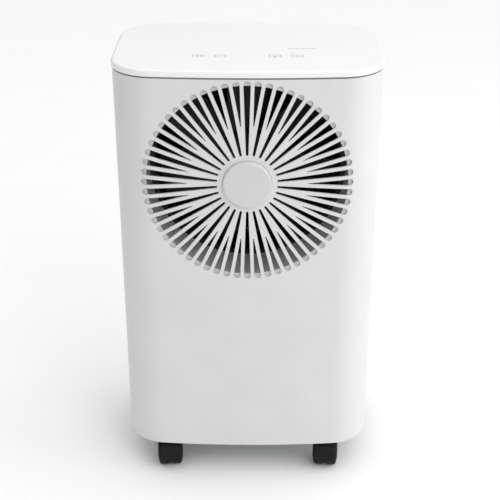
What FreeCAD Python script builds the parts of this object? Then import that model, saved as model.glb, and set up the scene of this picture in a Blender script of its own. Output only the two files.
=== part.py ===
import FreeCAD, Part
import math
import os

import Sketcher

# A dehumidifier on casters. The origin is on the floor, below the middle of the object's box:
# +X is the right-hand side, -Y is the front with the round grille, +Z is up.

Vector = FreeCAD.Vector
Rotation = FreeCAD.Rotation
Placement = FreeCAD.Placement

# ---------------------------------------------------------------- driving dimensions, mm and degrees

SIZES = {
    # casing
    "lid_width": 340, "lid_depth": 224, "lid_corner": 57, "lid_height": 8.5, "lid_overhang": 1,
    "lid_step": 2, "lid_step_inset": 3.7, "seal_inset": 2, "seal_width": 1.4, "overall_height": 592,
    "front_radius": 1400,
    "wall": 2.5, "ground_gap": 48, "seam": -40, "seam_gap": 0.15, "room": 0.3,
    # touch keys
    "key_outer": 61.9, "key_inner": 34.4, "key_row": -46, "key_width": 16.4, "key_depth": 11.6,
    "key_dish": 0.1, "groove_width": 1.4, "lamp_left": 54, "lamp_right": 59.4, "lamp_row": -31,
    "display_left": 51.3, "display_right": 86.9, "display_row": -12.5,
    # grille
    "grille_height": 446, "slot_reach": 129.2, "slot_round": 4.5, "long_start": 39.3,
    "long_round": 1.6, "short_start": 76.5, "short_round": 0.5, "slot_count": 30,
    "ring_inner": 127.4, "ring_outer": 135.5, "ring_back": -99,
    "hub_radius": 31, "hub_front": -116, "hub_seat": -109.8, "hub_round": 3,
    # fan and duct
    "duct_wall": 2.6, "duct_back": -50, "shroud_back": 5, "shroud_inner": 121,
    "fan_radius": 117, "fan_hub": 40, "fan_front": -31, "fan_back": -5, "blade_count": 7,
    "blade_chord": 58, "blade_pitch": 25, "blade_thick": 2.5, "shaft_radius": 3, "bore_fit": 0.05,
    "motor_radius": 36, "motor_back": 38,
    # heat exchangers
    "coil_side": 120, "coil_bottom": 291, "coil_top": 556, "fin_pitch": 8, "fin_thick": 0.8,
    "fin_depth": 18, "tube_radius": 4, "tube_rows": 12, "tube_pitch": 20, "tube_first": 322,
    "condenser_place": 53, "evaporator_place": 77, "discharge_side": -140, "suction_side": -152,
    # decks and trays
    "pan_thick": 4, "pan_rim": 8,
    "screw_across": 148.4, "screw_front": -84.2, "screw_rear": 89,
    "deck_height": 286, "deck_thick": 3, "tray_height": 26,
    # rear face
    "filter_side": 120, "filter_bottom": 340, "filter_top": 560, "filter_front": 97,
    "window_side": 102, "window_top": 215, "spigot_place": 60, "service_height": 306,
    "recess_radius": 15, "recess_floor": 101.5, "spigot_radius": 7, "spigot_root": 8.6, "spigot_bore": 5,
    "spigot_end": 112, "plug_end": 116, "gland_place": -60, "gland_radius": 7,
    # bucket
    "bucket_side": 100, "bucket_front": 12, "bucket_bottom": 52.3, "bucket_top": 206,
    "handle_arm": 40, "handle_pivot_depth": 58, "handle_pivot_height": 198, "handle_grip": 4.5,
    "float_pivot_depth": 60, "float_pivot_height": 165,
    # compressor
    "compressor_across": -58, "compressor_depth": -50, "compressor_radius": 46,
    "compressor_bottom": 70, "compressor_height": 145, "tab_circle": 48,
    # side grips
    "grip_front": -32.5, "grip_back": 52.5, "grip_bottom": 505, "grip_top": 535, "grip_depth": 22,
    # casters
    "caster_across": 112.5, "caster_depth": 70, "caster_trail": 14, "caster_turn": 270, "caster_toe": 4.5,
    "wheel_radius": 20, "wheel_inner": 3.5, "wheel_outer": 17.8, "wheel_edge": 14.6, "axle_radius": 2.5,
    "stem_radius": 4, "stem_top": 78, "socket_radius": 7, "boss_radius": 10,
}

document = FreeCAD.newDocument("dehumidifier")
dims = document.addObject("Spreadsheet::Sheet", "dims")


def fill_sheet():
    """Write every driving dimension as a name, a plain number and an alias."""
    for row, (word, value) in enumerate(SIZES.items(), start=1):
        dims.set("A%d" % row, word)
        dims.set("B%d" % row, str(value))
        dims.setAlias("B%d" % row, word)
    document.recompute()


def number(formula):
    """The value of a formula over the sheet's aliases."""
    result = dims.evalExpression(str(formula).replace("dims.", ""))
    return float(getattr(result, "Value", result))


# ---------------------------------------------------------------- helpers for Part objects

AXES = {"X": Rotation(Vector(0, 1, 0), 90), "Y": Rotation(Vector(1, 0, 0), -90), "Z": Rotation()}


def bind(item, prop, formula):
    """Set a property from a formula, which stays live in the document."""
    item.setExpression(prop, str(formula))


def place(item, x=0, y=0, z=0, rotation=None):
    """Place an object at three formulas, with an optional fixed rotation."""
    spot = Vector(number(x), number(y), number(z))
    item.Placement = Placement(spot, rotation or Rotation())
    for axis, formula in zip("xyz", (x, y, z)):
        bind(item, "Placement.Base." + axis, formula)
    return item


def box(name, low, high):
    """A block from its low corner to its high corner, three formulas each."""
    block = document.addObject("Part::Box", name)
    for prop, start, end in zip(("Length", "Width", "Height"), low, high):
        bind(block, prop, "(%s) - (%s)" % (end, start))
    return place(block, *low)


def rod(name, radius, start, length, axis="Z"):
    """A cylinder that starts at a point and runs along +X, +Y or +Z."""
    body = document.addObject("Part::Cylinder", name)
    bind(body, "Radius", radius)
    bind(body, "Height", length)
    return place(body, *start, rotation=AXES[axis])


def tube(name, outer, inner, start, length, axis="Z"):
    """A cylinder with a bore through it."""
    return cut(name, rod(name + "_outside", outer, start, length, axis),
               rod(name + "_bore", inner, start, length, axis))


def union(name, *items):
    joined = document.addObject("Part::MultiFuse", name)
    joined.Shapes = list(items)
    return joined


def cut(name, base, *tools):
    result = document.addObject("Part::Cut", name)
    result.Base = base
    result.Tool = tools[0] if len(tools) == 1 else union(name + "_tools", *tools)
    return result


def overlap(name, base, tool):
    result = document.addObject("Part::Common", name)
    result.Base = base
    result.Tool = tool
    return result


def group(name, *items):
    """Several separate solids in one node."""
    compound = document.addObject("Part::Compound", name)
    compound.Links = list(items)
    return compound


def mirrored(name, item, normal):
    """The same piece on the other side of the middle plane."""
    copy = document.addObject("Part::Mirroring", name)
    copy.Source = item
    copy.Normal = normal
    return copy


def from_shape(name, shape):
    """A piece whose shape is worked out in code."""
    feature = document.addObject("Part::Feature", name)
    feature.Shape = shape
    feature.Placement = Placement()
    return feature


# ---------------------------------------------------------------- helpers for PartDesign bodies


def new_body(name):
    return document.addObject("PartDesign::Body", name)


def new_sketch(body, name, role, shift=(0, 0, 0)):
    """A sketch on one of the body's own planes, moved by three formulas in the plane's own axes."""
    sketch = body.newObject("Sketcher::SketchObject", name)
    plane = [item for item in body.Origin.OriginFeatures if item.Role == role][0]
    sketch.AttachmentSupport = (plane, [""])
    sketch.MapMode = "FlatFace"
    for axis, formula in zip("xyz", shift):
        bind(sketch, "AttachmentOffset.Base." + axis, formula)
    return sketch


def constrain(sketch, kind, place_ids, formula):
    """Add one dimension to a sketch and bind it to the sheet."""
    index = sketch.addConstraint(Sketcher.Constraint(kind, *place_ids, number(formula)))
    sketch.setExpression("Constraints[%d]" % index, str(formula))


def polygon_sketch(body, name, role, corners, shift=(0, 0, 0)):
    """A closed straight-sided sketch whose corners are pairs of formulas."""
    sketch = new_sketch(body, name, role, shift)
    points = [Vector(number(x), number(y), 0) for x, y in corners]
    count = len(points)
    sides = [Part.LineSegment(points[i], points[(i + 1) % count]) for i in range(count)]
    sketch.addGeometry(sides, False)
    joints = [Sketcher.Constraint("Coincident", i, 2, (i + 1) % count, 1) for i in range(count)]
    sketch.addConstraint(joints)
    for i, (x, y) in enumerate(corners):
        constrain(sketch, "DistanceX", (-1, 1, i, 1), x)
        constrain(sketch, "DistanceY", (-1, 1, i, 1), y)
    return sketch


def circle_sketch(body, name, role, radius, shift=(0, 0, 0)):
    sketch = new_sketch(body, name, role, shift)
    sketch.addGeometry(Part.Circle(Vector(), Vector(0, 0, 1), number(radius)), False)
    sketch.addConstraint(Sketcher.Constraint("Coincident", 0, 3, -1, 1))
    constrain(sketch, "Radius", (0,), radius)
    return sketch


def arc(across, along, radius, start, end):
    """An arc in the sketch plane, from one angle to another in degrees."""
    circle = Part.Circle(Vector(across, along, 0), Vector(0, 0, 1), radius)
    return Part.ArcOfCircle(circle, math.radians(start), math.radians(end))


def outline_sketch(body, name, height, inset):
    """The casing's plan: a bowed front, straight sides and rear, and four tangent round corners."""
    sketch = new_sketch(body, name, "XY_Plane", (0, 0, height))
    half_width = "dims.lid_width / 2 - (%s)" % inset
    half_depth = "dims.lid_depth / 2 - (%s)" % inset
    corner = "dims.lid_corner - (%s)" % inset
    front = "dims.front_radius - (%s)" % inset
    side, deep, turn, bow = [number(item) for item in (half_width, half_depth, corner, front)]
    across = side - turn
    bow_centre = bow - deep
    front_corner = bow_centre - math.sqrt((bow - turn) ** 2 - across ** 2)
    rear_corner = deep - turn
    swing = math.degrees(math.asin(across / (bow - turn)))
    sketch.addGeometry([
        arc(0, bow_centre, bow, 270 - swing, 270 + swing),
        arc(across, front_corner, turn, swing - 90, 0),
        Part.LineSegment(Vector(side, front_corner, 0), Vector(side, rear_corner, 0)),
        arc(across, rear_corner, turn, 0, 90),
        Part.LineSegment(Vector(across, deep, 0), Vector(-across, deep, 0)),
        arc(-across, rear_corner, turn, 90, 180),
        Part.LineSegment(Vector(-side, rear_corner, 0), Vector(-side, front_corner, 0)),
        arc(-across, front_corner, turn, 180, 270 - swing),
    ], False)
    tangent = [Sketcher.Constraint("Tangent", i, 2, (i + 1) % 8, 1) for i in range(8)]
    equal = [Sketcher.Constraint("Equal", 1, other) for other in (3, 5, 7)]
    level = [Sketcher.Constraint("Vertical", 2), Sketcher.Constraint("Vertical", 6),
             Sketcher.Constraint("Horizontal", 4), Sketcher.Constraint("PointOnObject", 0, 3, -2)]
    sketch.addConstraint(tangent + equal + level)
    constrain(sketch, "Radius", (1,), corner)
    constrain(sketch, "Radius", (0,), front)
    constrain(sketch, "DistanceX", (-1, 1, 2, 1), half_width)
    constrain(sketch, "DistanceX", (6, 1, -1, 1), half_width)
    constrain(sketch, "DistanceY", (-1, 1, 4, 1), half_depth)
    constrain(sketch, "DistanceY", (0, 3, -1, 1), "-((%s) - (%s))" % (front, half_depth))
    return sketch


def slot_sketch(body, name, start, start_round):
    """One radial slot with round ends, wider towards the rim, about the grille's centre."""
    sketch = new_sketch(body, name, "XZ_Plane", (0, "dims.grille_height", 0))
    near, far = number(start), number("dims.slot_reach")
    small, large = number(start_round), number("dims.slot_round")
    lean = math.degrees(math.asin((large - small) / (far - near)))
    side = math.radians(lean)
    across, rise = math.cos(side), -math.sin(side)
    sketch.addGeometry([
        arc(0, far, large, -lean, 180 + lean),
        Part.LineSegment(Vector(-large * across, far + large * rise, 0),
                         Vector(-small * across, near + small * rise, 0)),
        arc(0, near, small, 180 + lean, 360 - lean),
        Part.LineSegment(Vector(small * across, near + small * rise, 0),
                         Vector(large * across, far + large * rise, 0)),
    ], False)
    sketch.addConstraint([Sketcher.Constraint("Tangent", i, 2, (i + 1) % 4, 1) for i in range(4)])
    sketch.addConstraint([Sketcher.Constraint("PointOnObject", i, 3, -2) for i in (0, 2)])
    constrain(sketch, "Radius", (0,), "dims.slot_round")
    constrain(sketch, "Radius", (2,), start_round)
    constrain(sketch, "DistanceY", (-1, 1, 0, 3), "dims.slot_reach")
    constrain(sketch, "DistanceY", (-1, 1, 2, 3), start)
    return sketch


def pad(body, sketch, length, reverse=False):
    feature = body.newObject("PartDesign::Pad", sketch.Name + "_pad")
    feature.Profile = sketch
    feature.Reversed = reverse
    bind(feature, "Length", length)
    return feature


def pocket(body, sketch, length, reverse=False):
    """Cut a sketch into the solid, and make sure that it took something away."""
    document.recompute()
    before = body.Shape.Volume
    feature = body.newObject("PartDesign::Pocket", sketch.Name + "_pocket")
    feature.Profile = sketch
    feature.Reversed = reverse
    bind(feature, "Length", length)
    document.recompute()
    if body.Shape.Volume >= before:
        raise RuntimeError(sketch.Name + " cuts nothing")
    return feature


def polar(body, feature, sketch, count):
    pattern = body.newObject("PartDesign::PolarPattern", feature.Name + "_pattern")
    pattern.Originals = [feature]
    pattern.Axis = (sketch, ["N_Axis"])
    pattern.Angle = 360
    bind(pattern, "Occurrences", count)
    body.Tip = pattern
    return pattern


def fillet(body, radius, wanted):
    """Round the edges of the body's last feature for which wanted(edge) is true."""
    document.recompute()
    base = body.Tip
    names = ["Edge%d" % i for i, edge in enumerate(base.Shape.Edges, start=1) if wanted(edge)]
    feature = body.newObject("PartDesign::Fillet", body.Name + "_round%d" % len(body.Group))
    feature.Base = (base, names)
    bind(feature, "Radius", radius)
    return feature


def at_height(height):
    """A test for edges that lie wholly at one height."""
    level = number(height)
    return lambda edge: max(abs(edge.BoundBox.ZMin - level), abs(edge.BoundBox.ZMax - level)) < 0.01


def revolved(name, corners, angle=360, reverse=False):
    """A turned piece about its own Y axis; each corner is a radius and a place along the axis."""
    body = new_body(name)
    sketch = polygon_sketch(body, name + "_profile", "XY_Plane", corners)
    feature = body.newObject("PartDesign::Revolution", name + "_turn")
    feature.Profile = sketch
    feature.ReferenceAxis = (sketch, ["V_Axis"])
    feature.Angle = angle
    feature.Reversed = reverse
    return body


def route(points, radius):
    """A wire of straight runs joined by tangent arcs of one radius."""
    edges = []
    start = points[0]
    for before, corner, after in zip(points, points[1:], points[2:]):
        back, ahead = (before - corner).normalize(), (after - corner).normalize()
        reach = radius / math.tan(back.getAngle(ahead) / 2)
        enter, leave = corner + back * reach, corner + ahead * reach
        middle = (back + ahead).normalize()
        inside = corner + middle * (radius / math.sin(back.getAngle(ahead) / 2) - radius)
        edges += [Part.LineSegment(start, enter).toShape(), Part.Arc(enter, inside, leave).toShape()]
        start = leave
    edges.append(Part.LineSegment(start, points[-1]).toShape())
    return Part.Wire(edges)


def pipe(points, bend, radius):
    """A round bar along a route of straight runs and arcs."""
    path = route(points, bend)
    edge = path.Edges[0]
    direction = edge.tangentAt(edge.FirstParameter)
    section = Part.Wire(Part.makeCircle(radius, points[0], direction))
    return path.makePipeShell([section], True, False)


# ---------------------------------------------------------------- casing

COVER_TOP = "dims.overall_height - dims.lid_height - dims.lid_step"
COVER_INSET = "dims.lid_overhang"
INNER_INSET = "dims.lid_overhang + dims.wall"
FACE = "dims.lid_depth / 2 - dims.lid_overhang"
SIDE = "dims.lid_width / 2 - dims.lid_overhang"
PAN_TOP = "dims.ground_gap + dims.pan_thick"
DECK_TOP = "dims.deck_height + dims.deck_thick"


def plan_block(name, inset, bottom, top):
    """A solid with the casing's plan, between two heights."""
    body = new_body(name)
    sketch = outline_sketch(body, name + "_plan", bottom, inset)
    pad(body, sketch, "(%s) - (%s)" % (top, bottom))
    return body


def cover_shell(name, keep_front):
    """A casing wall with no top or bottom, cut off at the side seam."""
    body = plan_block(name, COVER_INSET, "dims.ground_gap", COVER_TOP)
    inside = outline_sketch(body, name + "_inside", "dims.ground_gap", INNER_INSET)
    pocket(body, inside, COVER_TOP, reverse=True)
    edge = "dims.seam - dims.seam_gap" if keep_front else "dims.seam + dims.seam_gap"
    far = "dims.lid_depth" if keep_front else "-dims.lid_depth"
    sides = [("-dims.lid_width", edge), ("dims.lid_width", edge),
             ("dims.lid_width", far), ("-dims.lid_width", far)]
    waste = polygon_sketch(body, name + "_waste", "XY_Plane", sides)
    pocket(body, waste, "dims.overall_height", reverse=True)
    return body


def screw_bosses(name, front):
    """Two posts in the corners of a cover, each with a bore for a screw from below."""
    items = []
    for side in (-1, 1):
        depth = "dims.screw_front" if front else "dims.screw_rear"
        spot = ("%d * dims.screw_across" % side, depth, PAN_TOP + " + dims.pan_rim")
        items.append(tube("%s_%d" % (name, side + 1), 5, 2.1, spot, 20))
    return items


def front_cover():
    """The front cover: its wall, sixty slots, the seat for the hub cap and two screw bosses."""
    shell = cover_shell("front_shell", keep_front=True)
    for word, start, start_round, turn in (
            ("long", "dims.long_start", "dims.long_round", 0),
            ("short", "dims.short_start", "dims.short_round", 6)):
        sketch = slot_sketch(shell, word + "_slot", start, start_round)
        sketch.AttachmentOffset = Placement(sketch.AttachmentOffset.Base, Rotation(Vector(0, 0, 1), turn))
        bind(sketch, "AttachmentOffset.Base.y", "dims.grille_height")
        slot = pocket(shell, sketch, "dims.lid_depth", reverse=True)
        polar(shell, slot, sketch, "dims.slot_count")
    seat = circle_sketch(shell, "hub_seat", "XZ_Plane", "dims.hub_radius + dims.room",
                         (0, "dims.grille_height", "-dims.hub_seat"))
    pocket(shell, seat, "dims.lid_depth", reverse=True)
    stud_hole = circle_sketch(shell, "stud_hole", "XZ_Plane", 6.2, (0, "dims.grille_height", 0))
    pocket(shell, stud_hole, "dims.lid_depth", reverse=True)
    return union("front_cover", shell, *screw_bosses("front_boss", True))


def rear_cover():
    """The rear cover, with its filter and bucket windows, finger notch, grips and service openings."""
    shell = cover_shell("rear_shell", keep_front=False)
    openings = {
        "filter_window": ("dims.filter_side", "dims.filter_bottom", "dims.filter_top"),
        "bucket_window_opening": ("dims.window_side", PAN_TOP, "dims.window_top"),
        "finger_notch": ("40", "dims.window_top - 1", "dims.window_top + 20"),
    }
    for name, (side, bottom, top) in openings.items():
        corners = [("-(%s)" % side, bottom), (side, bottom), (side, top), ("-(%s)" % side, top)]
        pocket(shell, polygon_sketch(shell, name, "XZ_Plane", corners), "dims.lid_depth")
    grips = [("dims.grip_front", "dims.grip_bottom"), ("dims.grip_back", "dims.grip_bottom"),
             ("dims.grip_back", "dims.grip_top"), ("dims.grip_front", "dims.grip_top")]
    left = polygon_sketch(shell, "grip_openings", "YZ_Plane", grips, (0, 0, "-dims.lid_width"))
    pocket(shell, left, "dims.lid_width * 2", reverse=True)
    recess = circle_sketch(shell, "spigot_opening", "XZ_Plane", "dims.recess_radius",
                           ("dims.spigot_place", "dims.service_height", 0))
    pocket(shell, recess, "dims.lid_depth")
    gland = circle_sketch(shell, "gland_opening", "XZ_Plane", "dims.gland_radius + dims.bore_fit",
                          ("dims.gland_place", "dims.service_height", 0))
    pocket(shell, gland, "dims.lid_depth")
    for side in (-1, 1):
        hole = circle_sketch(shell, "screw_hole_%d" % (side + 1), "XZ_Plane", 2.3,
                             ("%d * 100" % side, 262, 0))
        pocket(shell, hole, "dims.lid_depth")
    centre = ("dims.spigot_place", "dims.recess_floor - dims.wall + 0.5", "dims.service_height")
    cup_length = "%s - 1.5 - (%s)" % (FACE, centre[1])
    cup = cut("spigot_cup",
              rod("cup_outside", "dims.recess_radius + 2", centre, cup_length, "Y"),
              rod("cup_inside", "dims.recess_radius",
                  ("dims.spigot_place", "dims.recess_floor", "dims.service_height"),
                  "dims.lid_depth", "Y"),
              rod("cup_hole", "dims.spigot_root + dims.room", centre, "dims.lid_depth", "Y"))
    seat = cut("filter_seat",
               box("seat_outside",
                   ("-dims.filter_side - 2", "dims.filter_front - 3", "dims.filter_bottom - 2"),
                   ("dims.filter_side + 2", FACE + " - 1.5", "dims.filter_top + 2")),
               box("seat_inside", ("-dims.filter_side", "dims.filter_front - 0.5", "dims.filter_bottom"),
                   ("dims.filter_side", "dims.lid_depth", "dims.filter_top")),
               box("seat_way", ("-dims.filter_side + 4", "0", "dims.filter_bottom + 4"),
                   ("dims.filter_side - 4", "dims.lid_depth", "dims.filter_top - 4")))
    core = plan_block("rear_core", INNER_INSET + " - 0.5", "dims.deck_height", COVER_TOP)
    seat = overlap("filter_seat_trimmed", seat, core)
    return union("rear_cover", shell, cup, seat, *screw_bosses("rear_boss", False))


def key_dish(body, name, across):
    """The shallow six-sided dish of one touch key."""
    half, rise = "dims.key_width / 2", "dims.key_depth / 2"
    outline = [("-1", "0"), ("-0.72", "-1"), ("0.72", "-1"), ("1", "0"), ("0.72", "1"), ("-0.72", "1")]
    corners = [("%s + %s * (%s)" % (across, x, half), "dims.key_row + %s * (%s)" % (y, rise))
               for x, y in outline]
    sketch = polygon_sketch(body, name, "XY_Plane", corners, (0, 0, "dims.overall_height"))
    pocket(body, sketch, "dims.key_dish")


def lid_groove(body, name, left, right, row):
    """A shallow straight groove in the lid, filled with ink on the finished machine."""
    low, high = "%s - dims.groove_width / 2" % row, "%s + dims.groove_width / 2" % row
    sketch = polygon_sketch(body, name, "XY_Plane", [(left, low), (right, low), (right, high), (left, high)],
                            (0, 0, "dims.overall_height"))
    pocket(body, sketch, "dims.key_dish")


def top_lid():
    """The thin lid: a plate with a rounded rim on an inset step, four hooks and four board posts."""
    bottom = COVER_TOP
    body = plan_block("lid_plate", "0", bottom + " + dims.lid_step", "dims.overall_height")
    fillet(body, 3, at_height("dims.overall_height"))
    fillet(body, 1.2, at_height("dims.overall_height - dims.lid_height"))
    step = outline_sketch(body, "lid_step_plan", bottom, "dims.lid_step_inset")
    pad(body, step, "dims.lid_step + 1")
    for key, across in enumerate(("-dims.key_outer", "-dims.key_inner", "dims.key_inner", "dims.key_outer")):
        key_dish(body, "key_dish_%d" % (key + 1), across)
    lid_groove(body, "indicator_groove", "dims.lamp_left", "dims.lamp_right", "dims.lamp_row")
    lid_groove(body, "display_groove", "dims.display_left", "dims.display_right", "dims.display_row")
    hook_side = SIDE + " - dims.wall - dims.room"
    items = [body]
    for side in (-1, 1):
        for depth in (-80, 30):
            name = "lid_hook_%d_%d" % (side + 1, depth + 80)
            reach = "(%s)" % hook_side if depth > 0 else "(%s) - 15" % hook_side
            low, high = "%s - 2" % reach, reach
            if side < 0:
                low, high = "-(%s)" % reach, "-(%s) + 2" % reach
            items.append(box(name, (low, depth, bottom + " - 10"),
                             (high, "%d + 12" % depth, bottom + " + 1")))
    for across in (-85, 85):
        for depth in (-75, -25):
            name = "lid_post_%d_%d" % (across + 85, depth + 75)
            items.append(rod(name, 3, (across, depth, bottom + " - 2"), 3))
    return union("top_lid", *items)


def lid_seal():
    """The soft strip between the covers' top edge and the lid."""
    top = COVER_TOP + " + dims.lid_step"
    outside = plan_block("seal_outside", "dims.seal_inset", COVER_TOP, top)
    inside = plan_block("seal_inside", "dims.seal_inset + dims.seal_width", COVER_TOP + " - 1", top + " + 1")
    return cut("lid_seal", outside, inside)


def hub_cap():
    """The smooth round cap in the middle of the grille, with the stud that holds it."""
    thick = "dims.hub_seat - dims.hub_front"
    body = revolved("hub_dome", [(0, 0), ("dims.hub_radius", 0), ("dims.hub_radius", thick), (0, thick)])
    fillet(body, "dims.hub_round", lambda edge: abs(edge.BoundBox.YMin - edge.BoundBox.YMax) < 0.01
           and edge.BoundBox.YMin < 0.01 and edge.BoundBox.XMax > 1)
    place(body, 0, "dims.hub_front", "dims.grille_height")
    stud = rod("hub_stud", 6, (0, "dims.hub_seat - 1", "dims.grille_height"), 5, "Y")
    return union("hub_cap", body, stud)


# ---------------------------------------------------------------- base and decks


def caster_spots():
    """Name, and the two formulas, of each caster's swivel axis."""
    for end, depth in (("front", "-dims.caster_depth"), ("rear", "dims.caster_depth")):
        for side, across in (("left", "-dims.caster_across"), ("right", "dims.caster_across")):
            yield end + "_" + side, across, depth


def base_screw_spots():
    """Name, and the two formulas, of each screw that holds a cover to the pan."""
    for end in ("front", "rear"):
        yield end + "_left", "-dims.screw_across", "dims.screw_" + end
        yield end + "_right", "dims.screw_across", "dims.screw_" + end


def base_pan():
    """The floor of the machine: a plate with a rim, four caster bosses and four screw holes."""
    inset = INNER_INSET + " + 0.5"
    plate = plan_block("pan_plate", inset, "dims.ground_gap", PAN_TOP + " + dims.pan_rim")
    hollow = outline_sketch(plate, "pan_hollow", PAN_TOP, inset + " + 2")
    pocket(plate, hollow, "dims.pan_rim", reverse=True)
    # the rim is open at the rear, where the bucket slides out
    way = box("pan_way", ("-dims.window_side - 2", 50, PAN_TOP),
              ("dims.window_side + 2", "dims.lid_depth", PAN_TOP + " + dims.pan_rim"))
    bosses = [rod(name + "_boss", "dims.boss_radius", (x, y, "dims.ground_gap"), 28)
              for name, x, y in caster_spots()]
    bores = [rod(name + "_bore", "dims.socket_radius + dims.bore_fit", (x, y, 0), "dims.overall_height")
             for name, x, y in caster_spots()]
    for name, across, depth in base_screw_spots():
        bores.append(rod("pan_hole_" + name, 2.3, (across, depth, 0), 70))
        bores.append(rod("pan_head_" + name, 3.6, (across, depth, "dims.ground_gap"), 2.2))
    return cut("base_pan", union("pan_solid", plate, *bosses), way, *bores)


def caster_sockets():
    """Four flanged bushes, one in each boss of the pan."""
    items = []
    for name, x, y in caster_spots():
        bush = union(name + "_bush_solid",
                     rod(name + "_bush", "dims.socket_radius", (x, y, "dims.ground_gap"),
                         "dims.stem_top + 2 - dims.ground_gap"),
                     rod(name + "_flange", "dims.socket_radius + 2", (x, y, "dims.ground_gap + 28"), 2))
        items.append(cut(name + "_socket", bush,
                         rod(name + "_way", "dims.stem_radius + 0.08", (x, y, 0), "dims.stem_top + 1")))
    return group("caster_sockets", *items)


def screw(name, spot, length, axis, radius, head, head_height):
    """A round-headed screw whose head sits at the given place and whose shank runs along the axis."""
    shank_start = list(spot)
    index = "XYZ".index(axis)
    shank_start[index] = "(%s) + %s" % (spot[index], head_height)
    return union(name, rod(name + "_head", head, spot, head_height, axis),
                 rod(name + "_shank", radius, shank_start, length, axis))


def base_screws():
    return group("base_screws", *[
        screw("base_screw_" + name, (across, depth, "dims.ground_gap + 0.2"), 26, "Z", 2, 3.4, 2)
        for name, across, depth in base_screw_spots()])


def cover_screws():
    """Two screws from the rear through the rear cover into the blocks under the mid deck."""
    items = []
    for across in (-100, 100):
        name = "cover_screw_%d" % (across + 100)
        turned = screw(name, (0, 0, 0), 22, "Z", 2, 4, 2)
        place(turned, across, FACE + " + 2", 262, Rotation(Vector(1, 0, 0), 90))
        items.append(turned)
    return group("cover_screws", *items)


def mid_deck():
    """The shelf that carries the fan and coils, with two blocks that the cover screws bite into."""
    plate = plan_block("deck_plate", INNER_INSET + " + 0.5", "dims.deck_height", DECK_TOP)
    items = [plate]
    for across in (-100, 100):
        low = ("%d - 7" % across, 88, 253)
        high = ("%d + 7" % across, FACE + " - dims.wall - dims.room", "dims.deck_height + 1")
        items.append(box("deck_block_%d" % (across + 100), low, high))
    holes = [rod("deck_screw_%d" % (across + 100), 2.1, (across, 80, 262), 40, "Y") for across in (-100, 100)]
    holes.append(rod("deck_drain", 9, (0, 70, "dims.deck_height - 5"), 20))
    holes.append(rod("deck_discharge", 6, ("dims.discharge_side", "dims.condenser_place", 280), 20))
    holes.append(rod("deck_suction", 6, ("dims.suction_side", "dims.evaporator_place", 280), 20))
    return cut("mid_deck", union("deck_solid", *items), *holes)


def drip_tray():
    """An open tray under both coils, with a spout over the bucket and a stub for the drain spigot."""
    low = ("-dims.coil_side - 8", 42, DECK_TOP)
    high = ("dims.coil_side + 8", 90, DECK_TOP + " + dims.tray_height")
    hollow = box("tray_hollow", ("-dims.coil_side - 6", 44, "dims.coil_bottom"),
                 ("dims.coil_side + 6", 88, "dims.overall_height"))
    solid = union("tray_solid", box("tray_block", low, high),
                  rod("tray_spout", 8, (0, 70, "dims.deck_height - 8"), 12))
    outlet = ("dims.spigot_place", 80, "dims.service_height")
    return cut("drip_tray", solid, hollow,
               rod("tray_hole", 5.5, (0, 70, "dims.deck_height - 20"), 40),
               rod("tray_outlet", "dims.spigot_bore", outlet, 20, "Y"))


def bay_wall():
    """The upright wall in front of the bucket bay, with a low guide rail on each side."""
    wall = box("bay_plate", (-150, 3, PAN_TOP), (150, 5.5, 240))
    right = box("bay_rail_right", (101, 5, PAN_TOP), (103.5, 54, PAN_TOP + " + 8"))
    left = box("bay_rail_left", (-103.5, 5, PAN_TOP), (-101, 54, PAN_TOP + " + 8"))
    return union("bay_wall", wall, right, left)


# ---------------------------------------------------------------- air path


def air_duct():
    """The round duct from the grille to the fan, with a thick mouth that fits the curved cover."""
    core = plan_block("duct_core", INNER_INSET + " + dims.seam_gap", "dims.deck_height", COVER_TOP)
    collar = tube("duct_collar", "dims.ring_outer", "dims.ring_inner",
                  (0, "-dims.lid_depth / 2", "dims.grille_height"),
                  "dims.ring_back + dims.lid_depth / 2", "Y")
    barrel = tube("duct_barrel", "dims.ring_inner + dims.duct_wall", "dims.ring_inner",
                  (0, "dims.ring_back - 1", "dims.grille_height"), "dims.duct_back - dims.ring_back + 1", "Y")
    return union("air_duct", overlap("duct_mouth", collar, core), barrel)


def fan_shroud():
    """The black ring round the fan, its four arms and motor plate, and the two legs to the deck."""
    start = (0, "dims.duct_back", "dims.grille_height")
    ring = tube("shroud_ring", "dims.ring_inner + dims.duct_wall", "dims.shroud_inner", start,
                "dims.shroud_back - dims.duct_back", "Y")
    plate = rod("motor_plate", "dims.motor_radius + 4", (0, 0, "dims.grille_height"), "dims.shroud_back", "Y")
    arms = []
    for turn in (45, 135, 225, 315):
        arm = box("shroud_arm_%d" % turn, (0, 0, 0), ("dims.shroud_inner + 4", "dims.shroud_back", 10))
        angle = math.radians(turn)
        place(arm, "%.6f" % (5 * math.sin(angle)), 0, "dims.grille_height - %.6f" % (5 * math.cos(angle)),
              Rotation(Vector(0, 1, 0), -turn))
        arms.append(arm)
    legs = [box("shroud_leg_%d" % (side + 1), ("%d * 60 - 10" % side, "dims.duct_back", DECK_TOP),
                ("%d * 60 + 10" % side, "dims.shroud_back", 333)) for side in (-1, 1)]
    holes = [rod("motor_way", 8, (0, -5, "dims.grille_height"), 20, "Y")]
    holes += [rod("plate_hole_%d" % i, 2.1, (x, -5, z), 20, "Y") for i, (x, z) in enumerate(motor_holes())]
    return cut("fan_shroud", union("shroud_solid", ring, plate, *arms, *legs), *holes)


def motor_holes():
    """The places of the three screws that hold the motor, as formulas across and up."""
    for turn in (90, 210, 330):
        angle = math.radians(turn)
        yield "%.6f" % (28 * math.cos(angle)), "dims.grille_height + %.6f" % (28 * math.sin(angle))


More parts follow.
